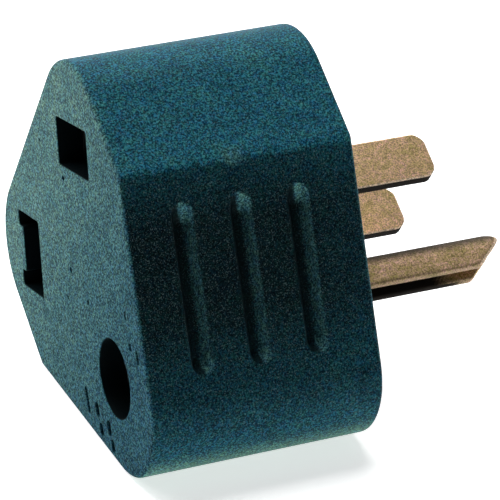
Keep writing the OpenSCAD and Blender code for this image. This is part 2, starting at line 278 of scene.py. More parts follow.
LOBE_Z = EDGE_Z - HALF_W / math.tan(SLANT) + LOBE_R / math.sin(SLANT)
FLANK_LEN = (HALF_W - LOBE_R * math.cos(SLANT)) / math.sin(SLANT)
EDGE_CUT = SIDE_EDGE_R * math.tan(SLANT / 2)


def body_outline(flank_step=FLANK_STEP):
    """Closed outline, anticlockwise in (Y, Z).

    Each station is (y, z, angle of the outward normal, distance down the slanted side or None).
    """
    corner_y, corner_z = HALF_W - CORNER_R, TOP - CORNER_R
    stations = []

    def add(points, down=None):
        for i, (y, z, a) in enumerate(points):
            stations.append((y, z, a, None if down is None else down[i]))

    def flank(side):
        down = spread(EDGE_CUT, FLANK_LEN, flank_step)
        angle = -SLANT if side > 0 else math.pi + SLANT
        points = [(side * (HALF_W - t * math.sin(SLANT)), EDGE_Z - t * math.cos(SLANT), angle)
                  for t in down]
        return points[1:-1], down[1:-1]

    add(arc(corner_y, corner_z, CORNER_R, 0, math.pi / 2, CORNER_STEPS))
    add([(y, TOP, math.pi / 2) for y in spread(corner_y, -corner_y, TOP_STEP)[1:-1]])
    add(arc(-corner_y, corner_z, CORNER_R, math.pi / 2, math.pi, CORNER_STEPS))
    edge_z = EDGE_Z + EDGE_CUT
    add([(-HALF_W, z, math.pi) for z in spread(corner_z, edge_z, SIDE_STEP)[1:-1]])
    add(arc(-HALF_W + SIDE_EDGE_R, edge_z, SIDE_EDGE_R, math.pi, math.pi + SLANT, EDGE_STEPS))
    points, down = flank(-1)
    add(points, down)
    add(arc(0, LOBE_Z, LOBE_R, math.pi + SLANT, 2 * math.pi - SLANT, LOBE_STEPS))
    points, down = flank(1)
    add(points[::-1], down[::-1])
    add(arc(HALF_W - SIDE_EDGE_R, edge_z, SIDE_EDGE_R, -SLANT, 0, EDGE_STEPS))
    add([(HALF_W, z, 0.0) for z in spread(edge_z, corner_z, SIDE_STEP)[1:-1]])
    return stations


def groove_at(down, x):
    """(depth, wear and painted highlight, painted shade) of the grip grooves at a place on a
    slanted side.
    """
    half = GROOVE_W / 2
    end = GROOVE_START + GROOVE_LEN
    for i in range(GROOVES):
        across = x - (GROOVE_FIRST + i * GROOVE_PITCH)
        past = max(GROOVE_START + half - down, down - (end - half), 0.0)
        reach = math.hypot(past, across) / half
        if reach < 1:
            run, left, share = down - GROOVE_START, end - down, across / half
            ramp = min(smooth(-GROOVE_LEAD, GROOVE_RAMP_TOP, run),
                       smooth(-GROOVE_LEAD, GROOVE_RAMP_LOW, left))
            depth = GROOVE_DEPTH * ramp * (1 - smooth(GROOVE_FLOOR, 1.0, reach))
            # Painted highlights on the wall nearer the prongs and at the upper end, and wear at the
            # lower end
            wall = WALL_HIGHLIGHT * smooth(*WALL_ACROSS, share)
            scoop = ((1 - smooth(*SCOOP_ALONG, run))
                     * smooth(*SCOOP_ACROSS, share - SCOOP_LEAN * run))
            foot = smooth(*FOOT_ACROSS, share) * smooth(*FOOT_ALONG, left)
            # Painted shade on the wall nearer the receptacle face and on the floor
            groove_shade = smooth(*GROOVE_SHADE_ACROSS, share) * (1 - smooth(*GROOVE_SHADE_FADE, share)) * (1 - scoop)
            inside = 1 - smooth(*GROOVE_EDGE, reach)
            return depth, max(wall, scoop, foot) * inside, GROOVE_SHADE_STRENGTH * groove_shade * inside
    return 0.0, 0.0, 0.0


def body_offset(x, angle):
    """How far the outside stands out from the outline: rounded rims and a little mould draft."""
    if x < RIM_R:
        rim = RIM_R - math.sqrt(max(RIM_R ** 2 - (RIM_R - x) ** 2, 0.0))
    elif x > DEPTH - RIM_R:
        rim = RIM_R - math.sqrt(max(RIM_R ** 2 - (RIM_R - (DEPTH - x)) ** 2, 0.0))
    else:
        rim = 0.0
    resting = max(math.cos(angle + SLANT), 0.0)
    return DRAFT * (x / DEPTH) * (1 - resting) - rim


# ---------------------------------------------------------------- mesh building

def ring(bm, points, x):
    """Vertices of one closed ring of (y, z) points at depth x."""
    return [bm.verts.new((x, p[0], p[1])) for p in points]


def bridge(bm, a, b):
    """Quads between two rings of the same length."""
    count = len(a)
    for i in range(count):
        bm.faces.new((a[i], a[(i + 1) % count], b[(i + 1) % count], b[i]))


def fill(bm, outer, holes=()):
    """Flat face between one outer ring and any holes, as triangles."""
    loops = [outer, *holes]
    verts = [v for loop in loops for v in loop]
    for tri in tessellate_polygon([[v.co for v in loop] for loop in loops]):
        bm.faces.new([verts[i] for i in tri])


def rounded_rect(cy, cz, length, width, turn, radius, steps=5):
    """Outline of a turned rectangle with rounded corners, as (y, z) points."""
    points = []
    for corner, (sy, sz) in enumerate(((1, 1), (-1, 1), (-1, -1), (1, -1))):
        for p in arc(sy * (length / 2 - radius), sz * (width / 2 - radius), radius,
                     corner * math.pi / 2, (corner + 1) * math.pi / 2, steps):
            points.append((cy + p[0] * math.cos(turn) - p[1] * math.sin(turn),
                           cz + p[0] * math.sin(turn) + p[1] * math.cos(turn)))
    return points


def notched_rect(cy, cz, length, width, turn, radius, grow):
    """Turned slot outline with a square notch at each end of its outer long side."""
    half_l, half_w = length / 2 + grow, width / 2 + grow
    inner = half_l - NOTCH_W - 2 * grow
    top = half_w + NOTCH_DEPTH
    corners = [(half_l, -half_w), (half_l, top), (inner, top), (inner, half_w),
               (-inner, half_w), (-inner, top), (-half_l, top), (-half_l, -half_w)]
    concave, least_r = (3, 4), 0.05
    points = []
    count = len(corners)
    for i, (u, v) in enumerate(corners):
        before, after = Vector(corners[i - 1]), Vector(corners[(i + 1) % count])
        here = Vector((u, v))
        r = max(radius - grow, least_r) if i in concave else radius
        a = (before - here).normalized() * r
        b = (after - here).normalized() * r
        centre = here + a + b
        for angle in spread(0, math.pi / 2, math.pi / 8):
            p = centre - b * math.cos(angle) - a * math.sin(angle)
            points.append((cy + p.x * math.cos(turn) - p.y * math.sin(turn),
                           cz + p.x * math.sin(turn) + p.y * math.cos(turn)))
    return points


def circle(cy, cz, radius, steps=72):
    """Outline of a circle, as (y, z) points."""
    return [p[:2] for p in arc(cy, cz, radius, 0, 2 * math.pi, steps)[:-1]]


def pin_outline(radius, steps=20):
    """Outline of the ground pin: flat open side down, rounded closed back up."""
    base = [(-radius, PIN_Z - radius), (radius, PIN_Z - radius)]
    return base + [p[:2] for p in arc(0, PIN_Z, radius, 0, math.pi, steps)]


def face_windows(grow):
    """The two canted slots and the ground hole, grown by grow."""
    hot = rounded_rect(-SLOT_Y, SLOT_Z, SLOT_LEN + 2 * grow, SLOT_W + 2 * grow, SLOT_CANT,
                       SLOT_CORNER_R + grow)
    neutral = notched_rect(SLOT_Y, SLOT_Z, SLOT_LEN, SLOT_W, -SLOT_CANT, SLOT_CORNER_R, grow)
    return [hot, neutral, circle(0, GROUND_HOLE_Z, GROUND_HOLE_R + grow)]


def prong_windows(grow):
    """The windows that the prongs come out of, grown by grow."""
    windows = [rounded_rect(side * BLADE_Y, 0, BLADE_T + 2 * (FIT_GAP + grow),
                            BLADE_W + 2 * (FIT_GAP + grow), 0, PRONG_WINDOW_R + grow)
               for side in SIDES]
    windows.append(pin_outline(PIN_W / 2 + FIT_GAP + grow))
    return windows


def window_walls(bm, windows, face_x, inner_x):
    """Walls of windows from the outside face, with a rounded rim, to the inside of the wall."""
    step = 1 if inner_x > face_x else -1
    outer, inner = [], []
    for make in windows:
        rings = []
        for a in spread(0, math.pi / 2, math.pi / 8):
            grow = WINDOW_RIM * (1 - math.sin(a))
            x = face_x + step * WINDOW_RIM * (1 - math.cos(a))
            rings.append(ring(bm, make(grow), x))
        for x in spread(face_x + step * WINDOW_RIM, inner_x, WINDOW_STEP)[1:]:
            rings.append(ring(bm, make(0), x))
        for a, b in zip(rings, rings[1:]):
            bridge(bm, a, b)
        outer.append(rings[0])
        inner.append(rings[-1])
    return outer, inner


def sunk_marks(bm):
    """Plain short bars and small pits sunk in the receptacle face; returns their outer rings."""
    sunk = [(rounded_rect(cy, cz, length, width, MARK_TURN, width * 0.4), MARK_DEPTH)
            for cy, cz, length, width in MARKS]
    sunk += [(circle(cy, cz, radius, 12), PIT_DEPTH) for cy, cz, radius in PITS]
    outer = []
    for outline, depth in sunk:
        rim, floor = ring(bm, outline, 0.0), ring(bm, outline, depth)
        bridge(bm, rim, floor)
        fill(bm, floor)
        outer.append(rim)
    return outer


def pick(function, index):
    """One window of a set, as a function of how far it is grown."""
    return lambda grow: function(grow)[index]


def finish_mesh(bm, name, sharp=35):
    """Turns a bmesh in the upright plug frame into an object that rides on the adapter."""
    bmesh.ops.remove_doubles(bm, verts=bm.verts, dist=MERGE)
    bmesh.ops.recalc_face_normals(bm, faces=bm.faces)
    mesh = bpy.data.meshes.new(name)
    bm.to_mesh(mesh)
    bm.free()
    mesh.transform(PLACE)
    mesh.shade_smooth()
    mesh.set_sharp_from_angle(angle=math.radians(sharp))
    piece = bpy.data.objects.new(name, mesh)
    bpy.context.scene.collection.objects.link(piece)
    weighted = piece.modifiers.new("weighted", "WEIGHTED_NORMAL")
    weighted.keep_sharp = True
    weighted.weight = 80
    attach(piece, "root")
    return piece


# Tones that the body's mesh carries, among them painted shade, painted highlights and painted
# bounce light
TONES = ("painted_shade", "recess_shade", "wear_and_sheen", "face", "face_lit", "painted_bounce")


def flank_tones(x, down, side_face):
    """(painted shade, painted highlight on the rear rim) on a slanted side, outside its grooves."""
    # Less painted shade near the top edge, near the prongs and down towards the lobe
    lighter = (TOP_EDGE_LIGHT * (1 - smooth(0.0, TOP_EDGE_REACH, down))
               + REAR_LIGHT * smooth(REAR_START, DEPTH, x)
               + (1 - LOBE_TOP) * smooth(LOBE_BLEND_START, FLANK_LEN, down))
    rear_rim = (smooth(DEPTH - RIM_R, DEPTH - REAR_RIM_FULL, x)
                * (1 - smooth(DEPTH - REAR_RIM_FADE, DEPTH, x)))
    return side_face * smooth(*PAINTED_SHADE_FADE, down) * (1 - lighter), REAR_RIM_HIGHLIGHT * rear_rim


def lobe_tones(angle, side_face):
    """(painted shade, painted bounce light) round the lobe at the bottom."""
    turned = abs(angle - 1.5 * math.pi) / (math.pi / 2 - SLANT)
    rise = max(0.0, (turned - LOBE_LOW_SHARE) / (1 - LOBE_LOW_SHARE))
    painted_bounce = smooth(*BOUNCE_START, angle) * (1 - smooth(*BOUNCE_END, angle))
    return side_face * (LOBE_LOW + (LOBE_TOP - LOBE_LOW) * rise), side_face * painted_bounce


def face_lit_share(z):
    """Share of painted light on the receptacle face at a height, below 0 where it is fully shaded.
    """
    return (z - FACE_SHADED_Z) / (FACE_LIT_Z - FACE_SHADED_Z)


def outside_tones(x, station, groove_wear_and_sheen, groove_shade):
    """Tones of a place on the outside, by the names that the body's material reads."""
    y, z, angle, down = station
    side_face = smooth(*RIM_FADE, x) * smooth(*RIM_FADE, DEPTH - x)
    painted_shade = wear_and_sheen = painted_bounce = 0.0
    if down is not None:
        painted_shade, wear_and_sheen = flank_tones(x, down, side_face)
    elif z < LOBE_Z:
        painted_shade, painted_bounce = lobe_tones(angle, side_face)
    elif z > TOP - CORNER_R:
        # Painted shade on the flat top, where the top light falls strongest
        painted_shade = side_face * FLAT_TOP * smooth(*FLAT_TOP_FADE, math.sin(angle))
    gate = math.hypot(x - GATE_X, GATE_FLATTEN * (z - EDGE_Z)) / GATE_R if y < 0 else 1.0
    wear_and_sheen = max(wear_and_sheen, groove_wear_and_sheen, GATE_WEAR * (1 - smooth(0.5, 1.0, gate)))
    return {"painted_shade": painted_shade, "recess_shade": groove_shade, "wear_and_sheen": wear_and_sheen, "painted_bounce": painted_bounce, "face_lit": face_lit_share(z),
            "face": 1 - smooth(FACE_FADE_START, RIM_R, x)}


def outside_rings(bm, layers):
    """Rings of the body's outside from front to back, with grooves and tones."""
    stations = body_outline()
    rows = [RIM_R * (1 - math.cos(math.pi / 2 * i / RIM_STEPS)) for i in range(RIM_STEPS + 1)]
    rows += spread(RIM_R, DEPTH - RIM_R, ROW_STEP)[1:-1]
    rows += [DEPTH - x for x in rows[RIM_STEPS::-1]]
    rings = []
    for x in rows:
        verts = []
        for station in stations:
            y, z, angle, down = station
            depth, groove_wear_and_sheen, groove_shade = (0.0, 0.0, 0.0) if down is None else groove_at(down, x)
            out = body_offset(x, angle) - depth
            v = bm.verts.new((x, y + out * math.cos(angle), z + out * math.sin(angle)))
            for name, tone in outside_tones(x, station, groove_wear_and_sheen, groove_shade).items():
                v[layers[name]] = tone
            verts.append(v)
        rings.append(verts)
    for a, b in zip(rings, rings[1:]):
        bridge(bm, a, b)
    return rings


def make_body():
    """Moulded body: outside with grooves, windows, and the space that holds the core."""
    bm = bmesh.new()
    layers = {name: bm.verts.layers.float.new(name) for name in TONES}
    rings = outside_rings(bm, layers)
    outside = set(bm.verts)
    front = [pick(face_windows, i) for i in range(3)]
    back = [pick(prong_windows, i) for i in range(3)]
    front_outer, front_inner = window_walls(bm, front, 0.0, WALL)
    marks = sunk_marks(bm)
    back_outer, back_inner = window_walls(bm, back, DEPTH, DEPTH - WALL)
    for v in bm.verts:
        if v not in outside:
            # Painted shade on the walls of the windows and marks, from a little way in
            v[layers["recess_shade"]] = smooth(0.0, RECESS_SHADE_FADE, min(v.co.x, DEPTH - v.co.x))
            v[layers["face"]] = 1 - smooth(0.0, WINDOW_RIM, v.co.x)
            # Painted light by height, as on the receptacle face
            v[layers["face_lit"]] = face_lit_share(v.co.z)
    fill(bm, rings[0], front_outer + marks)
    fill(bm, rings[-1], back_outer)
    inside = [(y - WALL * math.cos(a), z - WALL * math.sin(a))
              for y, z, a, _ in body_outline(CAVITY_STEP)]
    cavity_front = ring(bm, inside, WALL)
    cavity_back = ring(bm, inside, DEPTH - WALL)
    bridge(bm, cavity_front, cavity_back)
    fill(bm, cavity_front, front_inner)
    fill(bm, cavity_back, back_inner)
    body = finish_mesh(bm, "moulded_body")
    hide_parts("outer_body")
    return body


def bevel_sharp(bm, width, segments=3, limit=30):
    """Rounds every edge that turns by more than limit degrees."""
    bm.normal_update()
    edges = [e for e in bm.edges
             if len(e.link_faces) == 2 and e.calc_face_angle() > math.radians(limit)]
    bmesh.ops.bevel(bm, geom=edges, offset=width, segments=segments, affect="EDGES",
                    profile=0.5, clamp_overlap=True)


def cut_corner(bm, point, normal):
    """Cuts away what lies beyond a plane and closes the cut."""
    geom = [*bm.verts, *bm.edges, *bm.faces]
    made = bmesh.ops.bisect_plane(bm, geom=geom, plane_co=point, plane_no=normal,
                                  clear_outer=True, dist=MERGE)
    edges = [e for e in made["geom_cut"] if isinstance(e, bmesh.types.BMEdge)]
    bmesh.ops.contextual_create(bm, geom=edges)


def pierce_foot(bm, rivet):
    """Rivet hole along X through the two flat faces of a blade's foot."""
    rims = []
    for x, facing in ((FOOT_X, -1), (FOOT_X + BLADE_T, 1)):
        flat = max((f for f in bm.faces if f.normal.x * facing > 0.99
                    and abs(f.calc_center_median().x - x) < 0.01), key=lambda f: f.calc_area())
        outer = list(flat.verts)
        bm.faces.remove(flat)
        rims.append(ring(bm, circle(*rivet, RIVET_HOLE_R, RIVET_STEPS), x))
        fill(bm, outer, [rims[-1]])
    bridge(bm, *rims)


def riveted_plate(bm, outline, rivet, joined):
    """Foot plate with a rivet hole; its back face is joined to a ring that is already made."""
    depths = (FOOT_X, FOOT_X + BLADE_T)
    rims = [ring(bm, outline, x) for x in depths]
    holes = [ring(bm, circle(*rivet, RIVET_HOLE_R, RIVET_STEPS), x) for x in depths]
    bridge(bm, *rims)
    bridge(bm, *holes)
    fill(bm, rims[0], [holes[0]])
    fill(bm, rims[1], [holes[1], joined])


def make_blade(side, node):
    """Flat blade bent from strip, with its foot, chamfered tip and rolled edges."""
    inner, outer = BLADE_Y - BLADE_T / 2, BLADE_Y + BLADE_T / 2
    tip = DEPTH + BLADE_LEN
    foot_back = FOOT_X + BLADE_T
    bend = arc(inner + BLADE_BEND_R, FOOT_X + BLADE_BEND_R, BLADE_BEND_R, 1.5 * math.pi,
               math.pi, 6)
    profile = [(p[1], p[0]) for p in bend]
    profile += [(tip, inner), (tip, outer), (foot_back, outer), (foot_back, FOOT_END),
                (FOOT_X, FOOT_END)]
    bm = bmesh.new()
    low = [bm.verts.new((x, side * y, -BLADE_W / 2)) for x, y in profile]
    high = [bm.verts.new((x, side * y, BLADE_W / 2)) for x, y in profile]
    bm.faces.new(low)
    bm.faces.new(high)
    bridge(bm, low, high)
    bmesh.ops.recalc_face_normals(bm, faces=bm.faces)
    for up in (-1, 1):
        cut_corner(bm, (tip - BLADE_CHAMFER, 0, up * BLADE_W / 2), (1, 0, up))
    corners = [e for e in bm.edges
               if abs((e.verts[0].co - e.verts[1].co).normalized().y) > 0.99
               and min(v.co.x for v in e.verts) > tip - BLADE_CHAMFER - 0.1]
    bmesh.ops.bevel(bm, geom=corners, offset=BLADE_TIP_R, segments=5, affect="EDGES",
                    profile=0.5)
    bevel_sharp(bm, BLADE_EDGE_R)
    bm.normal_update()
    edge = bm.faces.layers.float.new("edge")
    painted_glint = bm.faces.layers.float.new("painted_glint")
    # Painted shade on sheared edges and painted highlights on rolled lower edges
    for f in bm.faces:
        across = abs(f.normal.y)
        if f.calc_center_median().x > foot_back:
            f[edge] = 1.0 if across < BLADE_EDGE_ACROSS else 0.0
            lower = max(-f.normal.z, f.normal.x) > BLADE_LOWER
            rolled = BLADE_EDGE_ACROSS <= across < BLADE_FLAT_ACROSS
            f[painted_glint] = 1.0 if lower and rolled else 0.0
    pierce_foot(bm, (side * BLADE_RIVET[0], BLADE_RIVET[1]))
    blade = finish_mesh(bm, node + "_prong")
    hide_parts(node)
    return blade


def make_ground_pin():
    """Ground pin folded from strip: an open channel with a slanted, rounded tip."""
    half = PIN_W / 2
    tip = DEPTH + PIN_LEN
    foot_back = FOOT_X + BLADE_T

    def tip_x(z):
        """Where the slanted tip ends at height z above the pin's middle."""
        rise = smooth(-half - PIN_SLANT_BELOW, PIN_SLANT_TOP, z)
        slope = tip - PIN_BEVEL * (1 - rise ** PIN_SLANT_POWER)
        return slope - PIN_NOSE * smooth(PIN_NOSE_START, half, z) ** 2

    def section(inset):
        """Closed outline of the folded strip, moved inwards by inset."""
        out, inn = half - inset, half - PIN_T + inset
        low = -half + inset
        r = max(PIN_EDGE_R - inset, 0.02)
        turns, steps = (math.pi, 1.5 * math.pi, 2 * math.pi), PIN_CORNER_STEPS
        rise = [(low + r) * (1 - i / PIN_SIDE_STEPS) for i in range(PIN_SIDE_STEPS + 1)]
        points = [(out, z) for z in rise[:-1]]
        points += [p[:2] for p in arc(0, 0, out, 0, math.pi, PIN_ROUND_STEPS)]
        points += [(-out, z) for z in rise[-2:0:-1]]
        points += [p[:2] for p in arc(-out + r, low + r, r, *turns[:2], steps)]
        points += [p[:2] for p in arc(-inn - r, low + r, r, *turns[1:], steps)]
        points += [(-inn, z) for z in rise[1:-1]]
        points += [p[:2] for p in arc(0, 0, inn, math.pi, 0, PIN_ROUND_STEPS)]
        points += [(inn, z) for z in rise[-2:0:-1]]
        points += [p[:2] for p in arc(inn + r, low + r, r, *turns[:2], steps)]
        points += [p[:2] for p in arc(out - r, low + r, r, *turns[1:], steps)[:-1]]
        return points

    bm = bmesh.new()
    rings = []
    full = section(0)
    for share in spread(0, 1, 1 / PIN_ROWS):
        rings.append([bm.verts.new((foot_back + (tip_x(z) - PIN_TIP_R - foot_back) * share, y,
                                    PIN_Z + z)) for y, z in full])
    for a in spread(0, math.pi / 2, math.pi / 8)[1:]:
        inset = PIN_TIP_R * (1 - math.cos(a))
        rings.append([bm.verts.new((tip_x(z) - PIN_TIP_R * (1 - math.sin(a)), y, PIN_Z + z))
                      for y, z in section(inset)])
    for a, b in zip(rings, rings[1:]):
        bridge(bm, a, b)
    fill_strip(bm, rings[-1])
    foot_low = PIN_Z - half - PIN_FOOT_LIP
    plate = rounded_rect(0, (foot_low + PIN_FOOT_TOP) / 2, PIN_W + 2 * PIN_FOOT_LIP,
                         PIN_FOOT_TOP - foot_low, 0, FOOT_CORNER_R)
    riveted_plate(bm, plate, PIN_RIVET, rings[0])
    bmesh.ops.recalc_face_normals(bm, faces=bm.faces)
    # Painted shade darkening the pin's upper part and its lower edges
    pin_shade = bm.verts.layers.float.new("pin_shade")
    for v in bm.verts:
        z = v.co.z - PIN_Z
        v[pin_shade] = max(smooth(*PIN_UPPER_SHADE, z), PIN_LOW_SHADE * smooth(*PIN_LOW_FADE, z + half))
    edge = bm.faces.layers.float.new("edge")
    painted_glint = bm.faces.layers.float.new("painted_glint")
    # Painted shade inside the channel and on its lower edges away from the tip, painted highlight
    # on the tip's faces
    for f in bm.faces:
        middle = f.calc_center_median()
        looks_down = f.normal.z < -PIN_FACING
        looks_in = f.normal.y * middle.y < -PIN_FACING
        if looks_in or (looks_down and abs(middle.y) < half - PIN_T):
            f[edge] = smooth(*INSIDE_DARK, tip - middle.x)
        elif looks_down and middle.y > 0:
            f[edge] = smooth(*FAR_RIM_DARK, tip - middle.x)
        elif f.normal.x > 0.15 and f.normal.z > -0.9:
            f[painted_glint] = PIN_TIP_GLINT
    pin = finish_mesh(bm, "ground_pin_channel", sharp=50)
    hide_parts("ground_pin")
    return pin


def fill_strip(bm, verts):
    """Closes the tip of the folded strip, whose ring is neither flat nor convex."""
    flat = [Vector((0, v.co.y, v.co.z)) for v in verts]
    for tri in tessellate_polygon([flat]):
        bm.faces.new([verts[i] for i in tri])


# ---------------------------------------------------------------- materials

# Stretch of the fine lines in brass and steel, which run along the prongs
ALONG_X = (0.08, 1.0, 1.0)
STEEL_ALONG_X = (0.06, 1.0, 1.0)
# Linear colours of what the tones on the meshes stand for: wear with painted highlights, painted
# bounce light, painted shade in recesses and over the pin, painted highlights on brass, and painted
# shade on sheared edges
WORN_AND_LIT_VINYL = (0.028, 0.105, 0.118)
LIT_VINYL = (0.060, 0.190, 0.160)
RECESS_SHADE_DARK = (0.001, 0.003, 0.004)
PIN_SHADE_BRASS = (0.075, 0.060, 0.044)
GLINT_BRASS = (0.74, 0.58, 0.42)
EDGE_SHADE_DARK = (0.008, 0.006, 0.004)


def new_material(name):
    """Empty node material with a Principled shader; returns (material, nodes, link, shader)."""
    material = bpy.data.materials.new(name)
    material.use_nodes = True
    tree = material.node_tree
    return material, tree.nodes, tree.links.new, tree.nodes["Principled BSDF"]


def noise(nodes, link, coords, scale, detail=3.0, roughness=0.55):
    """Noise texture in object space; scale is in features per metre."""
    node = nodes.new("ShaderNodeTexNoise")
    node.inputs["Scale"].default_value = scale
    node.inputs["Detail"].default_value = detail
    node.inputs["Roughness"].default_value = roughness
    link(coords, node.inputs["Vector"])
    return node.outputs["Fac"]


def ramp(nodes, link, factor, stops):
    """Colour ramp through (position, linear colour) stops."""
    node = nodes.new("ShaderNodeValToRGB")
    elements = node.color_ramp.elements
    while len(elements) < len(stops):
        elements.new(0.5)
    for element, (position, colour) in zip(elements, stops):
        element.position = position
        element.color = (*colour, 1.0)
    link(factor, node.inputs["Fac"])
    return node.outputs["Color"]


def mix(nodes, link, factor, a, b, blend="MIX"):
    """Mixes two colours; factor and the colours are values or outputs."""
    node = nodes.new("ShaderNodeMix")
    node.data_type = "RGBA"
    node.blend_type = blend
    for socket, value in ((node.inputs["Factor"], factor), (node.inputs["A"], a),
                          (node.inputs["B"], b)):
        if isinstance(value, bpy.types.NodeSocket):
            link(value, socket)
        elif isinstance(value, (int, float)):
            socket.default_value = value
        else:
            socket.default_value = (*value, 1.0)
    return node.outputs["Result"]


def mix_value(nodes, link, factor, a, b):
    """Mixes two numbers; all three are values or outputs."""
    node = nodes.new("ShaderNodeMix")
    for socket, value in ((node.inputs["Factor"], factor), (node.inputs["A"], a),
                          (node.inputs["B"], b)):
        if isinstance(value, bpy.types.NodeSocket):
            link(value, socket)
        else:
            socket.default_value = value
    return node.outputs["Result"]


def map_range(nodes, link, value, low, high, to_low, to_high):
    """Maps a value from one range to another, clamped."""
    node = nodes.new("ShaderNodeMapRange")
    for name, number in (("From Min", low), ("From Max", high), ("To Min", to_low),
                         ("To Max", to_high)):
        node.inputs[name].default_value = number
    link(value, node.inputs["Value"])
    return node.outputs["Result"]


def bump(nodes, link, height, distance, strength, below=None):
    """Bump in metres of height, stacked on another bump if given."""
    node = nodes.new("ShaderNodeBump")
    node.inputs["Distance"].default_value = distance
    node.inputs["Strength"].default_value = strength
    link(height, node.inputs["Height"])
    if below is not None:
        link(below, node.inputs["Normal"])
    return node.outputs["Normal"]


def object_coords(nodes):
    """Object-space position output."""
    return nodes.new("ShaderNodeTexCoord").outputs["Object"]


def attribute(nodes, name):
    """Value that the mesh carries under a name."""
    node = nodes.new("ShaderNodeAttribute")
    node.attribute_name = name
    return node.outputs["Fac"]


def body_material():
    """Dark blue-green vinyl: mottled colour, moulded grain, wear, and painted shade and light that
    the mesh carries.
    """
    material, nodes, link, shader = new_material("moulded_vinyl")
    coords = object_coords(nodes)
    cloud = noise(nodes, link, coords, 260, 4)
    blotch = noise(nodes, link, coords, 1500, 2)
    fine = noise(nodes, link, coords, 4200, 2)
    speck = noise(nodes, link, coords, 6500, 1)
    plain = ramp(nodes, link, cloud, [(0.3, (0.006, 0.066, 0.095)), (0.5, (0.008, 0.078, 0.116)),
                                      (0.7, (0.012, 0.091, 0.114))])
    # Lit and shaded copies of the receptacle face's colour, the lit one with a whitish painted
    # sheen, mixed by height as painted light
    face_lit_tone = ramp(nodes, link, cloud, [(0.3, (0.021, 0.084, 0.092)), (0.5, (0.032, 0.100, 0.103)),
                                       (0.7, (0.045, 0.117, 0.108))])
    face_shaded_tone = ramp(nodes, link, cloud, [(0.35, (0.010, 0.045, 0.066)), (0.65, (0.014, 0.062, 0.084))])
    face, face_lit = attribute(nodes, "face"), attribute(nodes, "face_lit")
    front = mix(nodes, link, face_lit, face_shaded_tone, face_lit_tone)
    colour = mix(nodes, link, face, plain, front)
    # Painted shade: near-black tone for the slanted sides, the lobe and the flat top
    dark = ramp(nodes, link, cloud, [(0.3, (0.001, 0.006, 0.009)), (0.7, (0.001, 0.011, 0.013))])
    colour = mix(nodes, link, attribute(nodes, "painted_shade"), colour, dark)
    # Wear and painted highlights
    colour = mix(nodes, link, attribute(nodes, "wear_and_sheen"), colour, WORN_AND_LIT_VINYL)
    # Painted bounce light under the lobe
    colour = mix(nodes, link, attribute(nodes, "painted_bounce"), colour, LIT_VINYL)
    hue = ramp(nodes, link, blotch, [(0.36, (0.8, 0.86, 1.22)), (0.5, (1.0, 1.0, 1.0)),
                                     (0.64, (1.45, 1.12, 0.82))])
    colour = mix(nodes, link, 0.7, colour, hue, "MULTIPLY")
    grain = ramp(nodes, link, fine, [(0.37, (0.12, 0.16, 0.22)), (0.5, (0.88, 0.88, 0.88)),
                                     (0.63, (3.0, 2.4, 2.2))])
    colour = mix(nodes, link, 0.9, colour, grain, "MULTIPLY")
    flecks = ramp(nodes, link, speck, [(0.59, (0.0, 0.0, 0.0)), (0.67, (0.050, 0.070, 0.070))])
    colour = mix(nodes, link, 1.0, colour, flecks, "ADD")
    # Painted shade in recesses
    colour = mix(nodes, link, attribute(nodes, "recess_shade"), colour, RECESS_SHADE_DARK)
    link(colour, shader.inputs["Base Color"])
    shader.inputs["Specular IOR Level"].default_value = 0.04
    shader.inputs["Specular Tint"].default_value = (0.7, 1.0, 0.95, 1.0)
    moulded = map_range(nodes, link, fine, 0.3, 0.7, 0.42, 0.58)
    dusty = map_range(nodes, link, face_lit, 0.0, 1.0, 1.0, 0.6)
    link(mix_value(nodes, link, face, moulded, dusty), shader.inputs["Roughness"])
    low = bump(nodes, link, cloud, 0.00012, 0.25)
    link(bump(nodes, link, speck, 0.00003, 0.4, low), shader.inputs["Normal"])
    return material


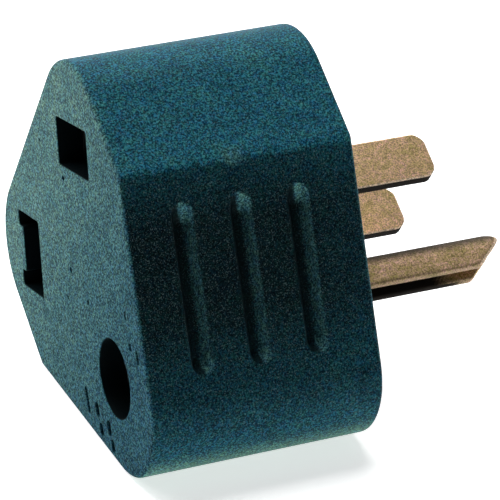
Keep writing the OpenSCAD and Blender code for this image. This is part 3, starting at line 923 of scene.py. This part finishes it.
def brass_material(name, tones, rough, stretch, edge_shade=None):
    """Rolled brass: blotches, fine lines along the strip, painted shade over the pin and on sheared
    edges, and painted highlights.
    """
    material, nodes, link, shader = new_material(name)
    coords = object_coords(nodes)
    mapping = nodes.new("ShaderNodeMapping")
    mapping.inputs["Scale"].default_value = stretch
    link(coords, mapping.inputs["Vector"])
    lines = noise(nodes, link, mapping.outputs["Vector"], 5200, 3)
    cloud = noise(nodes, link, coords, 420, 4)
    blotch = noise(nodes, link, coords, 2400, 3)
    fine = noise(nodes, link, coords, 5200, 2)
    base = ramp(nodes, link, blotch, list(zip((0.36, 0.5, 0.64), tones)))
    shade = ramp(nodes, link, cloud, [(0.38, (0.88, 0.88, 0.72)), (0.62, (1.28, 1.18, 1.22))])
    colour = mix(nodes, link, 1.0, base, shade, "MULTIPLY")
    pin_shade = attribute(nodes, "pin_shade")
    painted_glint = attribute(nodes, "painted_glint")
    # Painted shade over the pin's upper part and lower edges
    colour = mix(nodes, link, pin_shade, colour, PIN_SHADE_BRASS)
    # Painted highlights on rolled blade edges and the faces of the pin's tip
    colour = mix(nodes, link, painted_glint, colour, GLINT_BRASS)
    tone = ramp(nodes, link, fine, [(0.36, (0.42, 0.42, 0.46)), (0.5, (1.0, 1.0, 1.0)),
                                    (0.64, (1.5, 1.5, 1.6))])
    colour = mix(nodes, link, 0.85, colour, tone, "MULTIPLY")
    roughness = map_range(nodes, link, cloud, 0.3, 0.7, rough + 0.08, rough - 0.06)
    shader.inputs["Metallic"].default_value = 1.0
    shader.inputs["Specular IOR Level"].default_value = 0.1
    if edge_shade is not None:
        # Painted shade on sheared edges and inside the pin's channel
        edge = attribute(nodes, "edge")
        colour = mix(nodes, link, edge, colour, edge_shade)
        dulled = mix_value(nodes, link, painted_glint, pin_shade, 0.7)
        dulled = mix_value(nodes, link, edge, dulled, 1.0)
        roughness = mix_value(nodes, link, dulled, roughness, 0.9)
        link(map_range(nodes, link, dulled, 0.0, 1.0, 1.0, 0.0), shader.inputs["Metallic"])
    link(colour, shader.inputs["Base Color"])
    link(roughness, shader.inputs["Roughness"])
    link(bump(nodes, link, lines, 0.00001, 0.35), shader.inputs["Normal"])
    return material


def plastic_material(name, light, dark, rough):
    """Plain moulded plastic with a fine grain and a little unevenness."""
    material, nodes, link, shader = new_material(name)
    coords = object_coords(nodes)
    cloud = noise(nodes, link, coords, 300, 4)
    fine = noise(nodes, link, coords, 4200, 2)
    colour = ramp(nodes, link, cloud, [(0.35, dark), (0.65, light)])
    link(colour, shader.inputs["Base Color"])
    link(map_range(nodes, link, fine, 0.3, 0.7, rough - 0.06, rough + 0.08),
         shader.inputs["Roughness"])
    link(bump(nodes, link, fine, 0.00002, 0.3), shader.inputs["Normal"])
    return material


def steel_material(name, tone, rough):
    """Plated or spring steel with drawn lines."""
    material, nodes, link, shader = new_material(name)
    coords = object_coords(nodes)
    mapping = nodes.new("ShaderNodeMapping")
    mapping.inputs["Scale"].default_value = STEEL_ALONG_X
    link(coords, mapping.inputs["Vector"])
    lines = noise(nodes, link, mapping.outputs["Vector"], 6000, 3)
    cloud = noise(nodes, link, coords, 500, 3)
    dark = tuple(0.72 * c for c in tone)
    link(ramp(nodes, link, cloud, [(0.35, dark), (0.65, tone)]), shader.inputs["Base Color"])
    shader.inputs["Metallic"].default_value = 1.0
    link(map_range(nodes, link, lines, 0.3, 0.7, rough - 0.05, rough + 0.08),
         shader.inputs["Roughness"])
    link(bump(nodes, link, lines, 0.000008, 0.3), shader.inputs["Normal"])
    return material


def assign(piece, material):
    """Gives a piece one material."""
    piece.data.materials.clear()
    piece.data.materials.append(material)


def dress_core(nodes):
    """Materials of the CAD nodes inside the body."""
    black = plastic_material("core_thermoset", (0.012, 0.012, 0.013), (0.007, 0.007, 0.008), 0.5)
    cream = plastic_material("insulating_board", (0.46, 0.38, 0.24), (0.36, 0.29, 0.18), 0.7)
    brass = brass_material("spring_brass", ((0.50, 0.34, 0.12), (0.62, 0.42, 0.17),
                                            (0.66, 0.46, 0.22)), 0.32, ALONG_X)
    spring = steel_material("spring_steel", (0.52, 0.53, 0.55), 0.28)
    plated = steel_material("plated_steel", (0.42, 0.43, 0.45), 0.36)
    looks = {
        black: ("front_cap", "contact_carrier", "blade_bridge"),
        cream: ("strap_spacer",),
        brass: ("hot_contact", "neutral_contact", "ground_sleeve", "hot_strap", "neutral_strap",
                "ground_strap"),
        spring: ("hot_spring", "neutral_spring", "ground_ring"),
        plated: ("contact_rivets", "blade_rivets", "core_screws"),
    }
    for material, names in looks.items():
        for name in names:
            assign(nodes[name], material)


# ---------------------------------------------------------------- stage, lights and camera

def make_floor():
    """Pale floor that curves up into a pale wall far behind the object."""
    half, near, far, wall, radius = 12.0, -12.0, 0.9, 1.6, 0.5
    line = [(near, 0.0), (far, 0.0)]
    line += [(far + radius * math.sin(a), radius * (1 - math.cos(a)))
             for a in spread(0, math.pi / 2, 0.1)[1:]]
    line.append((far + radius, wall))
    bm = bmesh.new()
    left = [bm.verts.new((-half, y, z)) for y, z in line]
    right = [bm.verts.new((half, y, z)) for y, z in line]
    for i in range(len(line) - 1):
        bm.faces.new((left[i], right[i], right[i + 1], left[i + 1]))
    mesh = bpy.data.meshes.new("floor")
    bm.to_mesh(mesh)
    bm.free()
    mesh.shade_smooth()
    floor = bpy.data.objects.new("floor", mesh)
    bpy.context.scene.collection.objects.link(floor)
    material, nodes, link, shader = new_material("pale_floor")
    tone = noise(nodes, link, object_coords(nodes), 3, 2)
    link(ramp(nodes, link, tone, [(0.3, (0.86, 0.86, 0.86)), (0.7, (0.9, 0.9, 0.9))]),
         shader.inputs["Base Color"])
    shader.inputs["Roughness"].default_value = 0.9
    shader.inputs["Specular IOR Level"].default_value = 0.1
    shader.inputs["Emission Color"].default_value = (1.0, 1.0, 1.0, 1.0)
    shader.inputs["Emission Strength"].default_value = 0.65
    assign(floor, material)


def area_light(name, place, aim, size, power, colour=(1.0, 1.0, 1.0)):
    """Rectangular soft light that points from place at aim."""
    data = bpy.data.lights.new(name, "AREA")
    data.shape = "RECTANGLE"
    data.size, data.size_y = size
    data.energy = power
    data.color = colour
    light = bpy.data.objects.new(name, data)
    light.location = place
    light.rotation_euler = (Vector(aim) - Vector(place)).to_track_quat("-Z", "Y").to_euler()
    bpy.context.scene.collection.objects.link(light)


def make_lights():
    """Large top light, side light on the receptacle face, wall light, and a dim surround."""
    area_light("top_light", (-0.05, 0.45, 1.1), (0, 0.05, 0), (1.1, 0.9), 17.5)
    area_light("face_light", (-0.16, 0.12, 0.09), (-0.02, 0.01, 0.025), (0.08, 0.08), 0.12)
    area_light("wall_light", (0.0, 0.5, 1.2), (0, 1.4, 0.4), (1.6, 0.4), 3.0)
    world = bpy.data.worlds.new("studio")
    world.use_nodes = True
    background = world.node_tree.nodes["Background"]
    background.inputs["Color"].default_value = (0.75, 0.78, 0.8, 1)
    background.inputs["Strength"].default_value = 0.05
    bpy.context.scene.world = world


def make_camera():
    """Long-lens view on the receptacle face and one slanted side."""
    low, high = (Vector(v) for v in CAD_BOX)
    aim = (low + high) / 2 + Vector((-4.19, -0.69, -4.885)) * MM
    azimuth, elevation = math.radians(-115.28), math.radians(27.0)
    roll, distance = math.radians(-1.78), 336.3 * MM
    away = Vector((math.cos(azimuth) * math.cos(elevation),
                   math.sin(azimuth) * math.cos(elevation), math.sin(elevation)))
    data = bpy.data.cameras.new("camera")
    data.lens = 195.0
    data.sensor_width = 36.0
    data.clip_start = 0.01
    camera = bpy.data.objects.new("camera", data)
    turn = (-away).to_track_quat("-Z", "Y").to_matrix().to_4x4()
    camera.matrix_world = (Matrix.Translation(aim + away * distance) @ turn
                           @ Matrix.Rotation(-roll, 4, "Z"))
    bpy.context.scene.collection.objects.link(camera)
    bpy.context.scene.camera = camera


# ---------------------------------------------------------------- the scene

make_camera()
body = make_body()
assign(body, body_material())
blade_brass = brass_material("blade_brass", ((0.44, 0.35, 0.17), (0.52, 0.38, 0.21),
                                             (0.58, 0.40, 0.29)), 0.42, ALONG_X, EDGE_SHADE_DARK)
pin_brass = brass_material("pin_brass", ((0.34, 0.28, 0.12), (0.43, 0.32, 0.18),
                                         (0.52, 0.36, 0.27)), 0.5, ALONG_X, EDGE_SHADE_DARK)
assign(make_blade(HOT, "hot_blade"), blade_brass)
assign(make_blade(NEUTRAL, "neutral_blade"), blade_brass)
assign(make_ground_pin(), pin_brass)
dress_core(frame["nodes"])
make_floor()
make_lights()
bpy.context.scene.view_settings.view_transform = "Standard"
